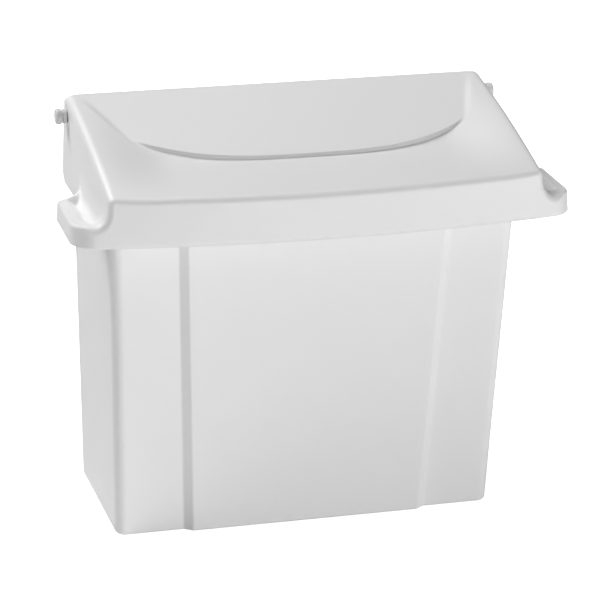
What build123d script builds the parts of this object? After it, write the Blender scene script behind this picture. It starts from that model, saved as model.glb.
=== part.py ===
"""Wall-mounted waste bin: tapered bin body, hinged hood lid with a grip brim,
two hinge pins and a lift-out liner.

Millimetres. +Z up, +X to the right seen from the front, the front faces -Y.
Origin: centre of the overall footprint on the underside.
Depths (d) are measured forward from the flat back of the bin body.
"""
import math
import os

from build123d import *

# ---------------------------------------------------------------- dimensions
BACK_Y = 74.0            # y of the flat back face; half the overall depth
WALL = 2.5               # bin body wall
BODY_TOP = 213.0         # rim of the bin body
BASE_HALF_W = 123.7      # half width of the body at the floor
BASE_DEPTH = 99.6        # depth of the side wings at the floor
SIDE_DRAFT = 6.6 / 208   # widening per mm of height, each side
FRONT_DRAFT = 9.1 / 208
PANEL_HALF_W = 77.3      # raised centre panel, half width at the floor
PANEL_DRAFT = 8.2 / 208
PANEL_PROUD = 3.8
PANEL_BEVEL = 5.4
CORNER_R = 7.0
RIM_HALF_W = 133.2
RIM_DEPTH = 113.0
RIM_H = 3.5
BACK_RISE = 237.0        # the back wall runs on up behind the lid to here

HINGE_D = 13.0           # hinge axis, forward of the back
HINGE_Z = 252.5
PIN_R = 2.5
PIN_HOLE_CLEARANCE = 0.06
EAR_IN, EAR_OUT = 129.4, 134.3
EAR_R = 4.6

LID_BOTTOM = 208.0
LID_TOP = 266.0
LID_WALL = 2.4
LID_HALF_W = 138.0       # outer face of the lid's side walls
LID_REAR_D = 4.0
LID_REAR_TOP = 264.9
BRIM_HALF_W = 158.75
BRIM_FLOOR_Z = 221.0
BRIM_LIP_Z = 222.2
BRIM_COVE_R = 9.5
BRIM_CORNER_R = 16.0
BRIM_START_D = 36.0
BRIM_FULL_D = 83.0
FRONT_EDGE_Z = 237.9     # top of the front band, before its rounding
FRONT_EDGE_R = 4.0
RIDGE_D0, RIDGE_BOW = 147.4, 14.0     # depth of the front's top edge at x = 0, and its set-back at the lid walls
FRONT_D0, FRONT_BOW = 148.0, 10.0     # same for the bottom edge
PANEL_Z0, PANEL_SLOPE = 266.78, 0.2427  # plane of the raised top panel
STEP_H = 2.4

SCREW_R = 2.6
SCREW_X = 80.0
SCREW_Z = (70.0, 185.0)

LINER_WALL = 1.8
LINER_BOTTOM = 5.0
LINER_TOP = 215.1


def Y(d):
    return BACK_Y - d


def smooth(a, b, v):
    t = min(1.0, max(0.0, (v - a) / (b - a)))
    return t * t * (3 - 2 * t)


def body_outline(z, inset=0.0):
    """Plan of the body at height z, with the raised centre panel; inset moves every wall inward."""
    w = BASE_HALF_W + SIDE_DRAFT * z - inset
    dep = BASE_DEPTH + FRONT_DRAFT * z - inset
    p = PANEL_HALF_W + PANEL_DRAFT * z - inset * 0.4
    b = PANEL_BEVEL / 2
    return [
        (-w, Y(inset)), (-w, Y(dep)), (-p - b, Y(dep)), (-p + b, Y(dep + PANEL_PROUD)),
        (p - b, Y(dep + PANEL_PROUD)), (p + b, Y(dep)), (w, Y(dep)), (w, Y(inset)),
    ]


def front_corners(sketch_vertices, dep):
    return [v for v in sketch_vertices if abs(v.Y - Y(dep)) < 0.01 and abs(v.X) > 100]


# ---------------------------------------------------------------- bin body
with BuildPart() as bin_body:
    for z in (0.0, BODY_TOP):
        with BuildSketch(Plane.XY.offset(z)):
            Polygon(*body_outline(z), align=None)
            fillet(front_corners(vertices(), BASE_DEPTH + FRONT_DRAFT * z), CORNER_R)
            fillet([v for v in vertices() if 60 < abs(v.X) < 100], 2.0)
    loft(ruled=True)
    fillet(edges().group_by(Axis.Z)[0], 2.2)
    # rim flange under the lid, on the front and the sides
    with BuildSketch(Plane.XY.offset(BODY_TOP - RIM_H)):
        with Locations((0, Y(RIM_DEPTH / 2 + 1))):
            Rectangle(2 * RIM_HALF_W, RIM_DEPTH - 2)
        fillet([v for v in vertices() if v.Y < 0 and abs(v.X) > 130], 9.0)
    extrude(amount=RIM_H)
    # the back wall carries on up behind the lid
    with BuildSketch(Plane.XY.offset(BODY_TOP - 6)):
        with Locations((0, Y(WALL / 2))):
            Rectangle(2 * EAR_OUT - 6, WALL)
    extrude(amount=BACK_RISE - BODY_TOP + 6)
    # hinge ears
    for s in (-1, 1):
        with BuildSketch(Plane.YZ.offset(s * (EAR_IN + EAR_OUT) / 2)):
            with BuildLine():
                Polyline(
                    (Y(HINGE_D - EAR_R), HINGE_Z), (Y(HINGE_D - EAR_R), 239.5), (Y(1.0), 232.0),
                    (Y(1.0), BODY_TOP - 8), (Y(44.0), BODY_TOP - 8), (Y(44.0), BODY_TOP),
                    (Y(HINGE_D + EAR_R), 240.0), (Y(HINGE_D + EAR_R), HINGE_Z),
                )
                CenterArc((Y(HINGE_D), HINGE_Z), EAR_R, 180, -180)
            make_face()
        extrude(amount=(EAR_OUT - EAR_IN) / 2, both=True)
    # hollow inside
    for z in (2.8, BODY_TOP + 0.5):
        with BuildSketch(Plane.XY.offset(z)):
            Polygon(*body_outline(z, WALL), align=None)
            fillet(front_corners(vertices(), BASE_DEPTH + FRONT_DRAFT * z - WALL), CORNER_R - WALL)
    loft(ruled=True, mode=Mode.SUBTRACT)
    # four screw holes through the back wall
    with BuildSketch(Plane.XZ.offset(-BACK_Y - 1)):
        with Locations(*[(sx * SCREW_X, z) for sx in (-1, 1) for z in SCREW_Z]):
            Circle(SCREW_R)
    extrude(amount=WALL + 2, mode=Mode.SUBTRACT)
    # hinge holes across both ears
    with BuildSketch(Plane.YZ.offset(-140)):
        with Locations((Y(HINGE_D), HINGE_Z)):
            Circle(PIN_R)
    extrude(amount=280, mode=Mode.SUBTRACT)
bin_body.part.label = "bin_body"


# ---------------------------------------------------------------- lid
def ridge_d(x, inset=0.0):
    return RIDGE_D0 - RIDGE_BOW * (x / LID_HALF_W) ** 2 - inset


def front_d(x, inset=0.0):
    return FRONT_D0 - FRONT_BOW * (x / LID_HALF_W) ** 2 - inset


def base_z(x, d):
    """Top surface of the lid outside the raised panel."""
    r = ridge_d(x)
    plane = PANEL_Z0 - PANEL_SLOPE * d
    side = 265.7 - 0.13 * d - 0.0006 * d * d
    mid = plane - STEP_H * smooth(6, 74, d)
    if d > 88:
        t = (d - 88) / (r - 4 - 88)
        z88 = PANEL_Z0 - PANEL_SLOPE * 88 - STEP_H
        mid = z88 + (FRONT_EDGE_Z - z88) * (t * 1.35 - 0.35 * t * t)
    w = smooth(88, 136, abs(x))
    return mid * (1 - w) + side * w


def lid_section(x, drop=0.0):
    """Points along the lid's top in the side view at x."""
    r = ridge_d(x) + 2.0
    pts = []
    for k in range(9):
        d = 2.0 + (r - 2.0) * k / 8
        pts.append((Y(d), base_z(x, min(d, ridge_d(x))) - drop))
    return pts


def envelope(half_w, inset, corner, z_low, z_high):
    """Solid whose front follows the bowed band, leaning slightly between its edges."""
    with BuildPart(mode=Mode.PRIVATE) as env:
        for z in (z_low, z_high):
            k = (z - LID_BOTTOM) / (FRONT_EDGE_Z - LID_BOTTOM)
            def dep(x, k=k):
                return front_d(x, inset) * (1 - k) + ridge_d(x, inset) * k
            xc = half_w - corner
            pts = [(-xc + 2 * xc * i / 12, Y(dep(-xc + 2 * xc * i / 12))) for i in range(13)]
            h = (dep(xc + 0.5) - dep(xc - 0.5))
            with BuildSketch(Plane.XY.offset(z)):
                with BuildLine():
                    Spline(*pts, tangents=[(1, -(-h)), (1, -h)])
                    side_y = Y(dep(xc) - corner)
                    Spline((xc, Y(dep(xc))), (half_w - corner * 0.27, Y(dep(xc) - corner * 0.30)), (half_w, side_y),
                           tangents=[(1, -h), (0, 1)])
                    Polyline((half_w, side_y), (half_w, Y(-10)), (-half_w, Y(-10)), (-half_w, side_y))
                    Spline((-half_w, side_y), (-half_w + corner * 0.27, Y(dep(xc) - corner * 0.30)), (-xc, Y(dep(xc))),
                           tangents=[(0, -1), (1, h)])
                make_face()
        loft(ruled=True)
    return env.part


def brim_plan(half_w, wall_w, shift, z_low, height):
    """Plan of the brim: it leaves the lid wall in an S and then runs straight to the front."""
    with BuildPart(mode=Mode.PRIVATE) as plan:
        with BuildSketch(Plane.XY.offset(z_low)):
            with BuildLine():
                a, b = BRIM_START_D + shift, BRIM_FULL_D + shift
                Spline((wall_w, Y(a)), ((wall_w + half_w) / 2, Y((a + b) / 2)), (half_w, Y(b)), tangents=[(0, -1), (0, -1)])
                Polyline((half_w, Y(b)), (half_w, Y(170)), (-half_w, Y(170)), (-half_w, Y(b)))
                Spline((-half_w, Y(b)), (-(wall_w + half_w) / 2, Y((a + b) / 2)), (-wall_w, Y(a)), tangents=[(0, 1), (0, 1)])
                Line((-wall_w, Y(a)), (wall_w, Y(a)))
            make_face()
        extrude(amount=height)
    return plan.part


def brim_profile(half_w, wall_w, drop, cove, z_low):
    """Front view of the brim: wall, cove, floor, raised lip and rounded outer edge."""
    floor = BRIM_FLOOR_Z - drop
    lip = BRIM_LIP_Z - drop
    with BuildPart(mode=Mode.PRIVATE) as prof:
        with BuildSketch(Plane.XZ.offset(-Y(0))):
            with BuildLine():
                for s in (-1, 1):
                    l1 = Line((0, floor + cove), (s * wall_w, floor + cove))
                    l2 = ThreePointArc(
                        (s * wall_w, floor + cove),
                        (s * (wall_w + cove * (1 - math.cos(math.radians(45)))), floor + cove * (1 - math.sin(math.radians(45)))),
                        (s * (wall_w + cove), floor))
                    l3 = Spline(
                        (s * (wall_w + cove), floor), (s * (half_w - 4.4), lip - 0.35), (s * (half_w - 2.9), lip),
                        (s * (half_w - 0.9), lip - 1.1), (s * (half_w - 0.35), lip - 3.6),
                        tangents=[(s * 1, 0), (s * 0.12, -1)])
                    foot = [(s * half_w, LID_BOTTOM)] if z_low < LID_BOTTOM else []
                    l4 = Polyline((s * (half_w - 0.35), lip - 3.6), *foot, (s * half_w, z_low), (0, z_low))
            make_face()
        extrude(amount=170)
    return prof.part


def wedge(half_w, drop, z_low, rear_d):
    """Lid block under the sloping top, built up from side views across the width."""
    with BuildPart(mode=Mode.PRIVATE) as blk:
        for f in (-1.0, -0.92, -0.72, -0.38, 0.0, 0.38, 0.72, 0.92, 1.0):
            x = f * half_w
            pts = lid_section(x, drop)
            with BuildSketch(Plane.YZ.offset(x)):
                with BuildLine():
                    Spline(*pts)
                    Polyline(pts[-1], (Y(170), pts[-1][1]), (Y(170), z_low), (Y(rear_d), z_low), (Y(rear_d), pts[0][1] + 0.2), pts[0])
                make_face()
        loft()
    return blk.part


def trim_sides(top_w, low_w, z_low, z_high):
    with BuildPart(mode=Mode.PRIVATE) as t:
        with BuildSketch(Plane.XZ.offset(-90)):
            Polygon((-low_w, z_low), (low_w, z_low), (top_w, z_high), (-top_w, z_high), align=None)
        extrude(amount=270)
    return t.part


outer_wedge = wedge(LID_HALF_W + 0.6, 0.0, LID_BOTTOM, -2.0) & trim_sides(LID_HALF_W - 0.9, LID_HALF_W + 0.3, LID_BOTTOM, LID_TOP)
outer_brim = brim_profile(BRIM_HALF_W, LID_HALF_W - 0.3, 0.0, BRIM_COVE_R, LID_BOTTOM) & brim_plan(
    BRIM_HALF_W, LID_HALF_W - 0.3, 0.0, LID_BOTTOM - 5, 60)
outer = (outer_wedge + outer_brim) & envelope(BRIM_HALF_W, 0.0, BRIM_CORNER_R, LID_BOTTOM, LID_TOP + 10)

with BuildPart() as top_panel:
    with BuildSketch(Plane.XY.offset(236)):
        with BuildLine():
            Polyline((-107, Y(60)), (-131.5, Y(3)), (131.5, Y(3)), (107, Y(60)))
            Spline((107, Y(60)), (86, Y(77.5)), (60, Y(86.5)), (25, Y(91)), (0, Y(91.8)), (-25, Y(91)), (-60, Y(86.5)),
                   (-86, Y(77.5)), (-107, Y(60)), tangents=[(-0.395, -0.919), (-0.395, 0.919)])
        make_face()
    extrude(amount=40)
    with BuildSketch(Plane.YZ.offset(-150)):
        Polygon((Y(0), PANEL_Z0), (Y(100), PANEL_Z0 - 100 * PANEL_SLOPE), (Y(100), PANEL_Z0 - 100 * PANEL_SLOPE - 3.6),
                (Y(0), PANEL_Z0 - 1.6), align=None)
    extrude(amount=300, mode=Mode.INTERSECT)

inner_wedge = wedge(LID_HALF_W - 2.0, LID_WALL, LID_BOTTOM - 8, -6.0) & trim_sides(
    LID_HALF_W - 0.9 - LID_WALL, LID_HALF_W + 0.3 - LID_WALL, LID_BOTTOM - 8, LID_TOP)
inner_brim = brim_profile(BRIM_HALF_W - LID_WALL, LID_HALF_W - 0.3 - LID_WALL, LID_WALL, BRIM_COVE_R, LID_BOTTOM - 8) & brim_plan(
    BRIM_HALF_W - LID_WALL, LID_HALF_W - 0.3 - LID_WALL, 2.0, LID_BOTTOM - 8, 60)
inner = (inner_wedge + inner_brim) & envelope(BRIM_HALF_W - LID_WALL, LID_WALL, BRIM_CORNER_R - LID_WALL, LID_BOTTOM - 8, LID_TOP + 10)

with BuildPart() as lid:
    add(outer)
    add(top_panel.part)
    # side view: rounded rear top edge and rounded rear lower corners
    with BuildSketch(Plane.YZ.offset(-170)):
        Polygon((Y(LID_REAR_D), LID_BOTTOM), (Y(160), LID_BOTTOM), (Y(160), LID_REAR_TOP), (Y(LID_REAR_D), LID_REAR_TOP), align=None)
        fillet([v for v in vertices() if v.X > 0 and v.Y < 220], 9.0)
        fillet([v for v in vertices() if v.X > 0 and v.Y > 250], 5.0)
    extrude(amount=340, mode=Mode.INTERSECT)
    add(inner, mode=Mode.SUBTRACT)
    # holes for the hinge pins
    with BuildSketch(Plane.YZ.offset(-145)):
        with Locations((Y(HINGE_D), HINGE_Z)):
            Circle(PIN_R + PIN_HOLE_CLEARANCE)
    extrude(amount=290, mode=Mode.SUBTRACT)
lid.part.label = "lid"


# ---------------------------------------------------------------- hinge pins
def hinge_pin(s):
    with BuildPart(mode=Mode.PRIVATE) as pin:
        with BuildSketch(Plane.XY):
            with BuildLine():
                Polyline((0, 129.4), (0, 144.6), (3.9, 144.6))
                RadiusArc((3.9, 144.6), (5.0, 143.4), 1.15)
                Polyline((5.0, 143.4), (5.0, 141.2), (3.9, 140.9), (3.9, 140.3), (4.7, 139.9), (4.7, 137.9), (PIN_R, 137.9),
                         (PIN_R, 129.9), (PIN_R - 0.5, 129.4), (0, 129.4))
            make_face()
        revolve(axis=Axis.Y)
    p = pin.part
    p = p.rotate(Axis.Z, -90 * s)
    return p.translate((0, Y(HINGE_D), HINGE_Z))


with BuildPart() as hinge_pin_left:
    add(hinge_pin(-1))
hinge_pin_left.part.label = "hinge_pin_left"

with BuildPart() as hinge_pin_right:
    add(hinge_pin(1))
hinge_pin_right.part.label = "hinge_pin_right"


# ---------------------------------------------------------------- liner
def liner_outline(z, inset=0.0):
    w = BASE_HALF_W + SIDE_DRAFT * z - 5.2 - inset
    dep = BASE_DEPTH + FRONT_DRAFT * z - 5.8 - inset
    return w, dep


with BuildPart() as liner:
    for z in (LINER_BOTTOM, LINER_TOP - 1.8):
        w, dep = liner_outline(z)
        with BuildSketch(Plane.XY.offset(z)):
            with Locations((0, (Y(6.0) + Y(dep)) / 2)):
                RectangleRounded(2 * w, dep - 6.0, 10.0)
    loft(ruled=True)
    fillet(edges().group_by(Axis.Z)[0], 3.0)
    with BuildSketch(Plane.XY.offset(LINER_TOP - 1.8)):
        with Locations((0, (Y(3.4) + Y(108.6)) / 2)):
            RectangleRounded(2 * 128.6, 108.6 - 3.4, 10.0)
    extrude(amount=1.8)
    for z in (LINER_BOTTOM + LINER_WALL, LINER_TOP + 0.5):
        w, dep = liner_outline(z, LINER_WALL)
        with BuildSketch(Plane.XY.offset(z)):
            with Locations((0, (Y(6.0 + LINER_WALL) + Y(dep)) / 2)):
                RectangleRounded(2 * w, dep - 6.0 - LINER_WALL, 8.5)
    loft(ruled=True, mode=Mode.SUBTRACT)
liner.part.label = "liner"


# ---------------------------------------------------------------- export
os.makedirs("parts", exist_ok=True)
export_step(bin_body.part, "parts/bin_body.step")
export_step(lid.part, "parts/lid.step")
export_step(hinge_pin_left.part, "parts/hinge_pin_left.step")
export_step(hinge_pin_right.part, "parts/hinge_pin_right.step")
export_step(liner.part, "parts/liner.step")
for piece in (bin_body, lid, hinge_pin_left, hinge_pin_right, liner):
    bb = piece.part.bounding_box()
    print(piece.part.label, len(piece.part.solids()), round(piece.part.volume / 1000, 1), "cm3", bb.min, bb.max)
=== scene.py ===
"""Wall-mounted waste bin: looks, light and camera."""
import math

import bmesh
import bpy
import numpy as np
from mathutils import Matrix, Vector


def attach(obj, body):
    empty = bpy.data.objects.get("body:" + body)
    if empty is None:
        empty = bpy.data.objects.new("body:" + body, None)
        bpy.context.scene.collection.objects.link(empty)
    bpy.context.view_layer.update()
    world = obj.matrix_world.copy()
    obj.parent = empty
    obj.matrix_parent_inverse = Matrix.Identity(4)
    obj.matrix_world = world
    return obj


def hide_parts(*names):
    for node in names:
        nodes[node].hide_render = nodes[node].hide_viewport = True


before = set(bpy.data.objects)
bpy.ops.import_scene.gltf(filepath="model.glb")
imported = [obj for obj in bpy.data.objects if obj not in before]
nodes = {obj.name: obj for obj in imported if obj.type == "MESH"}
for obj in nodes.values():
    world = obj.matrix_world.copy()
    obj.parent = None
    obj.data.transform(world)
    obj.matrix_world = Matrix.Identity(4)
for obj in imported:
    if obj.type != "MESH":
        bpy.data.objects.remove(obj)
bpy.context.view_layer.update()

MM = 0.001
BACK_Y = 74.0


# ------------------------------------------------------------------ materials
def plastic(name, base, rough, vary=0.012, coat=0.25, bump=0.04, bump_scale=900.0, seed=0.0, edge=0.03):
    """Moulded plastic: base tone with faint flow variation, fine texture in the gloss, a slight grain and worn edges."""
    m = bpy.data.materials.new(name)
    m.use_nodes = True
    nt = m.node_tree
    N, L = nt.nodes, nt.links
    bsdf = N["Principled BSDF"]
    coord = N.new("ShaderNodeTexCoord")
    mapn = N.new("ShaderNodeMapping")
    mapn.inputs["Location"].default_value = (seed, seed * 0.37, seed * 1.7)
    L.new(coord.outputs["Object"], mapn.inputs["Vector"])

    flow = N.new("ShaderNodeTexNoise")
    flow.inputs["Scale"].default_value = 9.0
    flow.inputs["Detail"].default_value = 3.0
    flow.inputs["Roughness"].default_value = 0.55
    L.new(mapn.outputs["Vector"], flow.inputs["Vector"])
    tint = N.new("ShaderNodeMapRange")
    tint.inputs["From Min"].default_value = 0.0
    tint.inputs["From Max"].default_value = 1.0
    tint.inputs["To Min"].default_value = 1.0 - vary * 2.0
    tint.inputs["To Max"].default_value = 1.0 + vary * 1.2
    L.new(flow.outputs["Fac"], tint.inputs["Value"])

    geo = N.new("ShaderNodeNewGeometry")
    worn = N.new("ShaderNodeMapRange")
    worn.inputs["From Min"].default_value = 0.53
    worn.inputs["From Max"].default_value = 0.60
    worn.inputs["To Min"].default_value = 0.0
    worn.inputs["To Max"].default_value = 1.0
    L.new(geo.outputs["Pointiness"], worn.inputs["Value"])

    shade = N.new("ShaderNodeMix")
    shade.data_type = "RGBA"
    shade.blend_type = "MULTIPLY"
    shade.inputs[0].default_value = 1.0
    shade.inputs[6].default_value = (*base, 1.0)
    L.new(tint.outputs["Result"], shade.inputs[7])
    rim = N.new("ShaderNodeMix")
    rim.data_type = "RGBA"
    rim.blend_type = "MIX"
    scale = N.new("ShaderNodeMath")
    scale.operation = "MULTIPLY"
    scale.inputs[1].default_value = edge * 4
    L.new(worn.outputs["Result"], scale.inputs[0])
    L.new(scale.outputs[0], rim.inputs[0])
    L.new(shade.outputs[2], rim.inputs[6])
    rim.inputs[7].default_value = tuple(min(1.0, b * 1.05) for b in base) + (1.0,)
    L.new(rim.outputs[2], bsdf.inputs["Base Color"])

    smear = N.new("ShaderNodeTexNoise")
    smear.inputs["Scale"].default_value = 38.0
    smear.inputs["Detail"].default_value = 5.0
    L.new(mapn.outputs["Vector"], smear.inputs["Vector"])
    gloss = N.new("ShaderNodeMapRange")
    gloss.inputs["From Min"].default_value = 0.0
    gloss.inputs["From Max"].default_value = 1.0
    gloss.inputs["To Min"].default_value = rough - 0.08
    gloss.inputs["To Max"].default_value = rough + 0.08
    L.new(smear.outputs["Fac"], gloss.inputs["Value"])
    L.new(gloss.outputs["Result"], bsdf.inputs["Roughness"])

    grain = N.new("ShaderNodeTexNoise")
    grain.inputs["Scale"].default_value = bump_scale
    grain.inputs["Detail"].default_value = 2.0
    L.new(mapn.outputs["Vector"], grain.inputs["Vector"])
    wave = N.new("ShaderNodeTexNoise")
    wave.inputs["Scale"].default_value = 26.0
    wave.inputs["Detail"].default_value = 1.0
    L.new(mapn.outputs["Vector"], wave.inputs["Vector"])
    b1 = N.new("ShaderNodeBump")
    b1.inputs["Strength"].default_value = bump
    b1.inputs["Distance"].default_value = 0.0002
    L.new(grain.outputs["Fac"], b1.inputs["Height"])
    b2 = N.new("ShaderNodeBump")
    b2.inputs["Strength"].default_value = 0.05
    b2.inputs["Distance"].default_value = 0.0015
    L.new(wave.outputs["Fac"], b2.inputs["Height"])
    L.new(b1.outputs["Normal"], b2.inputs["Normal"])
    L.new(b2.outputs["Normal"], bsdf.inputs["Normal"])

    bsdf.inputs["IOR"].default_value = 1.52
    bsdf.inputs["Coat Weight"].default_value = coat
    bsdf.inputs["Coat Roughness"].default_value = 0.12
    bsdf.inputs["Subsurface Weight"].default_value = 0.0
    return m


mat_body = plastic("body_plastic", (0.80, 0.80, 0.80), 0.46, coat=0.06, seed=1.3)
mat_lid = plastic("lid_plastic", (0.80, 0.80, 0.80), 0.46, coat=0.04, seed=4.1)
mat_pin = plastic("pin_plastic", (0.70, 0.70, 0.70), 0.44, coat=0.06, seed=7.7)
mat_liner = plastic("liner_plastic", (0.62, 0.62, 0.63), 0.5, coat=0.0, bump=0.12, seed=9.2)


def paint(obj, mat):
    obj.data.materials.clear()
    obj.data.materials.append(mat)


for name, mat in (("bin_body", mat_body), ("lid", mat_lid), ("hinge_pin_left", mat_pin),
                  ("hinge_pin_right", mat_pin), ("liner", mat_liner)):
    paint(nodes[name], mat)

# ------------------------------------------------------------------ lid
LID_REAR, LID_LOW = 4.0, 208.0
HALF_W = 158.75
CORNER = 13.5
EDGE_Z = 237.9
R_SIDE, R_FRONT, R_REAR, R_LIP = 5.0, 4.5, 5.0, 1.8
COVE_W, WALL_Z = 8.0, 231.5
TOP_Z, TOP_SLOPE = 266.6, 0.2407
TROUGH_Z, RIM_Z, LIP_Z = 216.2, 220.8, 220.5
FLARE_R, FLARE_D = 32.9, 48.7
STEP_H = 2.6


def smooth(a, b, v):
    t = np.clip((v - a) / (b - a), 0.0, 1.0)
    return t * t * (3 - 2 * t)


def soft_min(a, b, k):
    h = np.clip(0.5 + 0.5 * (b - a) / k, 0.0, 1.0)
    return b * (1 - h) + a * h - k * h * (1 - h)


def ridge_d(x):
    return 147.6 - 14.0 * (x / 138.0) ** 2


def front_d(x):
    return 148.0 - 10.0 * (x / 138.0) ** 2


def band_d(x, z):
    k = np.clip((z - LID_LOW) / (EDGE_Z - LID_LOW), 0.0, 1.0)
    return front_d(x) * (1 - k) + ridge_d(x) * k


def wall_x(z):
    return 137.1 + (262.0 - z) * 0.022


def flare(d):
    """Share of the brim's full width reached at depth d: an arc off the wall, then a rounded outer corner."""
    t = np.clip(d - FLARE_D, 0.0, 32.3)
    raw = (FLARE_R - np.sqrt(FLARE_R ** 2 - t ** 2)) / 21.2 + np.clip(d - FLARE_D - 32.3, 0.0, None) * 0.4
    return np.clip(soft_min(raw, 0.965 + 0.035 * smooth(84, 122, d), 0.2), 0.0, 1.0)


def step_d(x):
    """Depth of the raised panel's curved front edge."""
    ax = np.minimum(np.abs(x), 112.0)
    return 92.0 - 27.0 * (ax / 107.0) ** 3


def top_z(x, d):
    """Height of the lid's upper surface: concave lower sweep, raised panel, curved step."""
    ax = np.abs(x)
    r = ridge_d(ax) - R_FRONT
    plane = TOP_Z - TOP_SLOPE * d
    side = 265.5 - 0.13 * d - 0.0006 * d * d
    mid = plane - STEP_H * smooth(6, 74, d)
    z88 = TOP_Z - TOP_SLOPE * 88 - STEP_H
    t = np.clip((d - 88) / (r - 88), 0.0, 1.2)
    low = z88 + (EDGE_Z - z88) * (t * 1.35 - 0.35 * t * t)
    join = smooth(80, 96, d)
    mid = mid * (1 - join) + low * join
    w = smooth(88, 136, ax)
    base = mid * (1 - w) + side * w
    # signed distance inside the panel's outline
    s1 = 92.0 - 27.0 * (ax / 107.0) ** 3 - d
    s1 = s1 / np.sqrt(1 + (81.0 / 107.0 * (ax / 107.0) ** 2) ** 2)
    s2 = (130.5 - 20.0 * (d - 7.0) / 55.0 - ax) * 0.94
    k = 6.0
    h = np.clip(0.5 + 0.5 * (s2 - s1) / k, 0, 1)
    s = s2 * (1 - h) + s1 * h - k * h * (1 - h)
    side_ness = smooth(98, 118, ax)
    e = 0.48 + 2.4 * side_ness
    g = smooth(-e, e, s)
    return base + (plane - base) * g


nA, nB, nC, nD, nE, nF, nG = 112, 8, 7, 12, 16, 7, 9
iB, iC, iD = nA, nA + nB, nA + nB + nC
iE = iD + nD + 1
iF = iE + nE
iG = iF + nF
n_half = iG + nG
ANG_B = math.pi / 2 * (np.arange(nB) + 1) / nB
ANG_D = math.pi / 2 * np.arange(nD + 1) / nD
ANG_F = math.pi / 2 * (np.arange(nF) + 1) / nF
T_E = (np.arange(nE) + 1) / nE
LIP_X = HALF_W - 0.3 - R_LIP - wall_x(WALL_Z)
BRIM_X = np.concatenate([
    COVE_W * (1 - np.cos(ANG_D)),
    COVE_W + (LIP_X - COVE_W) * T_E,
    LIP_X + R_LIP * np.sin(ANG_F),
    LIP_X + R_LIP + 0.3 * (np.arange(nG) + 1) / nG,
])


def brim_z(d, top):
    """Heights of the full brim's profile, one per column from the cove's top, at depths d and cove tops 'top'."""
    floor = TROUGH_Z + (RIM_Z - TROUGH_Z) * smooth(115, 127, d)
    z = np.empty(len(BRIM_X))
    n0, n1, n2 = nD + 1, nD + 1 + nE, nD + 1 + nE + nF
    z[:n0] = top[:n0] - (top[:n0] - floor[:n0]) * np.sin(ANG_D)
    u = np.clip(T_E / 0.62, 0.0, 1.0)
    up = 0.5 * (u + smooth(0, 1, u))
    z[n0:n1] = floor[n0:n1] + (LIP_Z - floor[n0:n1]) * up
    z[n1:n2] = LIP_Z - R_LIP + R_LIP * np.cos(ANG_F)
    zs = LIP_Z - R_LIP
    z[n2:] = zs + (LID_LOW - zs) * (np.arange(nG) + 1) / nG
    return z


def section(d):
    """x, z of the half profile, one entry per column, at depths d (one per column)."""
    x = np.empty(n_half)
    z = np.empty(n_half)
    z_edge = top_z(np.full(1, 132.1), d[nA - 1: nA])[0]
    xa = wall_x(z_edge - R_SIDE) - R_SIDE
    x[:nA] = xa * np.linspace(0, 1, nA)
    z[:nA] = top_z(x[:nA], d[:nA])
    edge = top_z(np.full(n_half, xa), d)
    x[iB:iC] = xa + R_SIDE * np.sin(ANG_B)
    z[iB:iC] = edge[iB:iC] - R_SIDE + R_SIDE * np.cos(ANG_B)
    foot = edge - R_SIDE
    top = np.minimum(WALL_Z, foot)
    t = (np.arange(nC) + 1) / (nC + 1)
    z[iC:iD] = foot[iC:iD] + (top[iC:iD] - foot[iC:iD]) * t
    x[iC:iD] = wall_x(z[iC:iD])
    dD = d[iD:]
    low = LID_LOW + np.where(dD < 13.0, 9.0 - np.sqrt(np.clip(81.0 - (13.0 - dD) ** 2, 0, None)), 0.0)
    bz = brim_z(dD, top[iD:])
    pz = low + PLAIN * (top[iD:] - low)
    w = flare(dD)
    x[iD:] = wall_x(pz) * (1 - w) + (wall_x(WALL_Z) + BRIM_X) * w
    z[iD:] = pz * (1 - w) + bz * w
    return x, z


def _plain():
    z = brim_z(np.full(len(BRIM_X), 100.0), np.full(len(BRIM_X), WALL_Z))
    seg = np.r_[0, np.cumsum(np.hypot(np.diff(BRIM_X), np.diff(z)))]
    k = nD + nE + nF
    out = np.empty(len(BRIM_X))
    zs = LIP_Z - R_LIP
    out[:k + 1] = WALL_Z + (zs - WALL_Z) * seg[:k + 1] / seg[k]
    out[k:] = z[k:]
    return (out - LID_LOW) / (WALL_Z - LID_LOW)


PLAIN = _plain()


def normals(x, z):
    tx, tz = np.gradient(x), np.gradient(z)
    ln = np.maximum(np.hypot(tx, tz), 1e-9)
    nx, nz = -tz / ln, tx / ln
    nx[0], nz[0] = 0.0, 1.0
    nx[iB:iC], nz[iB:iC] = np.sin(ANG_B), np.cos(ANG_B)
    nx[iC:iD + 1], nz[iC:iD + 1] = 1.0, 0.02
    return nx, nz


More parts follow.
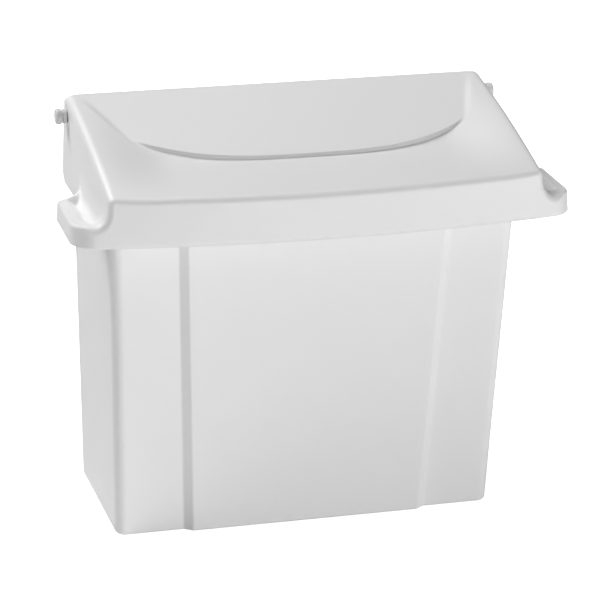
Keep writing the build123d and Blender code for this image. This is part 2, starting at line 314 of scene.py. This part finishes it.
def lid_grid():
    # rounding radius where each column turns into the front face
    r_f = np.full(n_half, R_FRONT)
    r_f[iD:iE] = R_FRONT + (5.8 - R_FRONT) * smooth(0, 1, np.arange(nD + 1) / nD)
    r_f[iE:iF] = 5.8 + (1.5 - 5.8) * smooth(0.05, 0.75, T_E)
    r_f[iF:iG] = 1.5 + (0.5 - 1.5) * smooth(0, 1, (np.arange(nF) + 1) / nF)
    r_f[iG:] = 0.5

    # where each column meets the front
    d_end = np.full(n_half, 130.0)
    for _ in range(6):
        x, z = section(d_end)
        nx, nz = normals(x, z)
        d_end = band_d(x - r_f * nx, z - r_f * nz) - r_f

    psi = np.linspace(math.pi / 2, 0, 6)
    around = np.array([-4, -2.6, -1.7, -1.1, -0.75, -0.55, -0.42, -0.3, -0.18, -0.06, 0.06, 0.18, 0.3, 0.42, 0.55, 0.75, 1.1, 1.7, 2.6, 4])
    n1, n3 = 34, 76
    phi = np.linspace(0, math.pi / 2, 9)[1:]
    rows = []
    ins = np.zeros(n_half)
    ins[:nA] = 1.0
    ins[iB:iC] = np.cos(ANG_B)
    for p in psi[:-1]:
        d = np.full(n_half, LID_REAR + R_REAR * (1 - math.sin(p)))
        x, z = section(d)
        gx, gz = normals(x, z)
        k = R_REAR * (1 - math.cos(p)) * ins
        rows.append((x - gx * k, d, z - gz * k))
    x, _ = section(np.full(n_half, 60.0))
    ds = step_d(x)
    start = LID_REAR + R_REAR
    for i in range(n1):
        rows.append(start + (ds - 4 - start) * (i / n1))
    for o in around:
        rows.append(ds + o)
    for i in range(1, n3 + 1):
        rows.append(ds + 4 + (d_end - ds - 4) * (i / n3))
    rows = [r if isinstance(r, tuple) else (*[section(r)[0]], r, section(r)[1]) for r in rows]
    x, z = section(d_end)
    gx, gz = normals(x, z)
    for p in phi:
        k = r_f * (1 - math.cos(p))
        rows.append((x - gx * k, d_end + r_f * math.sin(p), z - gz * k))
    X = np.array([r[0] for r in rows])
    D = np.array([r[1] for r in rows])
    Z = np.array([r[2] for r in rows])
    X[:, 0] = 0.0
    # front face below the rounded edge
    n_col = iG
    tj = (np.arange(nG) + 1) / nG
    even = X[-1, :n_col].copy()
    i0 = nA - 13
    even[i0: iD + 5] = np.linspace(even[i0], even[iD + 4], iD + 5 - i0)
    FX = X[-1][None, :n_col] * (1 - tj[:, None]) + even[None, :] * tj[:, None]
    FZ = Z[-1][None, :n_col] + (LID_LOW - Z[-1][None, :n_col]) * tj[:, None]
    FD = band_d(FX, FZ)
    return X, D, Z, FX, FD, FZ, n_col, nG


def round_corner(x, d, z):
    """Rounds the brim's front corners in plan."""
    ax = np.abs(x)
    lim = band_d(ax, z)
    a = (ax - (HALF_W - CORNER)) / CORNER
    b = (d - (lim - CORNER)) / CORNER
    inside = (a > 1e-6) & (b > 1e-6)
    m = np.where(inside, np.maximum(a, b) / np.maximum(np.hypot(a, b), 1e-9), 1.0)
    ax2 = np.where(inside, HALF_W - CORNER + CORNER * a * m, ax)
    d2 = np.where(inside, lim - CORNER + CORNER * b * m, d)
    return np.sign(x) * ax2, d2


def build_lid():
    X, D, Z, FX, FD, FZ, n_col, nG = lid_grid()
    nv, nh = X.shape
    verts = []
    index = {}

    def grid_full(X, D, Z, mirror):
        xs = np.concatenate([-X[:, :0:-1], X], axis=1)
        ds = np.concatenate([D[:, :0:-1], D], axis=1)
        zs = np.concatenate([Z[:, :0:-1], Z], axis=1)
        return xs, ds, zs

    xs, ds, zs = grid_full(X, D, Z, True)
    nu = xs.shape[1]
    base = np.arange(nv * nu).reshape(nv, nu)
    fxs, fds, fzs = grid_full(FX, FD, FZ, True)
    nf = fxs.shape[1]
    allx = np.r_[xs.ravel(), fxs.ravel()]
    alld = np.r_[ds.ravel(), fds.ravel()]
    allz = np.r_[zs.ravel(), fzs.ravel()]
    fidx = (nv * nu + np.arange(nG * nf)).reshape(nG, nf)
    off = (nu - nf) // 2
    # share the skirt's end points with the outermost front columns
    for j in range(nG):
        fidx[j, 0] = base[nv - 1, off - 1 - j]
        fidx[j, -1] = base[nv - 1, nu - off + j]
    allx, alld = round_corner(allx, alld, allz)
    co = np.stack([allx, BACK_Y - alld, allz], 1) * MM
    q = []
    q.append(np.stack([base[:-1, :-1], base[:-1, 1:], base[1:, 1:], base[1:, :-1]], -1).reshape(-1, 4))
    first = np.concatenate([base[nv - 1: nv, off: off + nf], fidx], 0)
    q.append(np.stack([first[:-1, :-1], first[:-1, 1:], first[1:, 1:], first[1:, :-1]], -1).reshape(-1, 4))
    faces = np.concatenate(q)[:, ::-1]
    used = np.unique(faces)
    remap = -np.ones(len(co), int)
    remap[used] = np.arange(len(used))
    me = bpy.data.meshes.new("lid_moulding")
    me.from_pydata(co[used].tolist(), [], remap[faces].tolist())
    bm = bmesh.new()
    bm.from_mesh(me)
    bmesh.ops.remove_doubles(bm, verts=bm.verts, dist=1e-6)
    bm.to_mesh(me)
    bm.free()
    me.validate()
    me.update()
    o = bpy.data.objects.new("lid_moulding", me)
    bpy.context.scene.collection.objects.link(o)
    for p in me.polygons:
        p.use_smooth = True
    sol = o.modifiers.new("wall", "SOLIDIFY")
    sol.thickness = 0.0024
    sol.offset = -1.0
    sol.use_even_offset = False
    sol.use_rim = True
    return o


lid = build_lid()
paint(lid, mat_lid)
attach(lid, "lid")
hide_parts("lid")

# ------------------------------------------------------------------ stage
scene = bpy.context.scene


def ground(name, z, base, glow):
    bpy.ops.mesh.primitive_plane_add(size=60.0, location=(0, 0, z))
    o = bpy.context.object
    o.name = name
    m = bpy.data.materials.new(name + "_paper")
    m.use_nodes = True
    p = m.node_tree.nodes["Principled BSDF"]
    p.inputs["Base Color"].default_value = (base, base, base, 1)
    p.inputs["Roughness"].default_value = 0.9
    p.inputs["Specular IOR Level"].default_value = 0.1
    p.inputs["Emission Color"].default_value = (1, 1, 1, 1)
    p.inputs["Emission Strength"].default_value = glow
    paint(o, m)
    return o


# a bright sweep that the camera sees, and the plain paper under it that returns light to the object
floor = ground("floor", -0.0006, 0.9, 1.0)
floor.visible_diffuse = floor.visible_glossy = floor.visible_transmission = floor.visible_shadow = False
paper = ground("floor_paper", -0.0010, 0.85, 0.0)
paper.visible_camera = False
paper.visible_shadow = False


def area(name, loc, target, size, power, size_y=None):
    d = bpy.data.lights.new(name, "AREA")
    d.energy = power
    d.size = size
    if size_y:
        d.shape = "RECTANGLE"
        d.size_y = size_y
    o = bpy.data.objects.new(name, d)
    scene.collection.objects.link(o)
    o.location = loc
    o.rotation_mode = "QUATERNION"
    o.rotation_quaternion = (Vector(loc) - Vector(target)).to_track_quat("Z", "Y")
    return o


area("front", (0.000, -3.598, 0.256), (0, 0, 0.13), 1.8, 42)
area("front_right", (3.583, -3.460, -0.306), (0, 0, 0.13), 2.4, 104)
area("top", (-0.868, -0.000, 5.054), (0, 0, 0.13), 2.6, 36)
area("top_back", (0.000, 2.500, 4.460), (0, 0, 0.13), 2.6, 56)
area("top_back_left", (-2.369, 2.453, 3.787), (0, 0, 0.13), 2.6, 206)

world = bpy.data.worlds.new("studio")
scene.world = world
world.use_nodes = True
world.node_tree.nodes["Background"].inputs["Color"].default_value = (1, 1, 1, 1)
world.node_tree.nodes["Background"].inputs["Strength"].default_value = 1.0
world.cycles_visibility.diffuse = False
world.cycles_visibility.glossy = False
scene.view_settings.view_transform = "Standard"

# ------------------------------------------------------------------ camera
F_PX = 3173.9
AZ, EL, ROLL = math.radians(16.32), math.radians(21.06), math.radians(1.47)
TX, TY = -6.98, 7.86
DIST = 2028.2
direction = Vector((math.sin(AZ) * math.cos(EL), math.cos(AZ) * math.cos(EL), -math.sin(EL)))
right = direction.cross(Vector((0, 0, 1))).normalized()
up = right.cross(direction)
right_r = right * math.cos(ROLL) + up * math.sin(ROLL)
up_r = -right * math.sin(ROLL) + up * math.cos(ROLL)
centre = Vector((0, -60 + BACK_Y, 130.0)) * MM - direction * DIST * MM
cam_data = bpy.data.cameras.new("camera")
cam = bpy.data.objects.new("camera", cam_data)
scene.collection.objects.link(cam)
scene.camera = cam
cam.rotation_mode = "QUATERNION"
cam.matrix_world = Matrix.Translation(centre) @ Matrix((
    (right_r.x, up_r.x, -direction.x),
    (right_r.y, up_r.y, -direction.y),
    (right_r.z, up_r.z, -direction.z),
)).to_4x4()
cam_data.sensor_width = 36.0
cam_data.lens = F_PX * 36.0 / 600.0
cam_data.shift_x = -TX / 600.0
cam_data.shift_y = TY / 600.0
cam_data.clip_start, cam_data.clip_end = 0.1, 60.0
cam_data.dof.use_dof = False
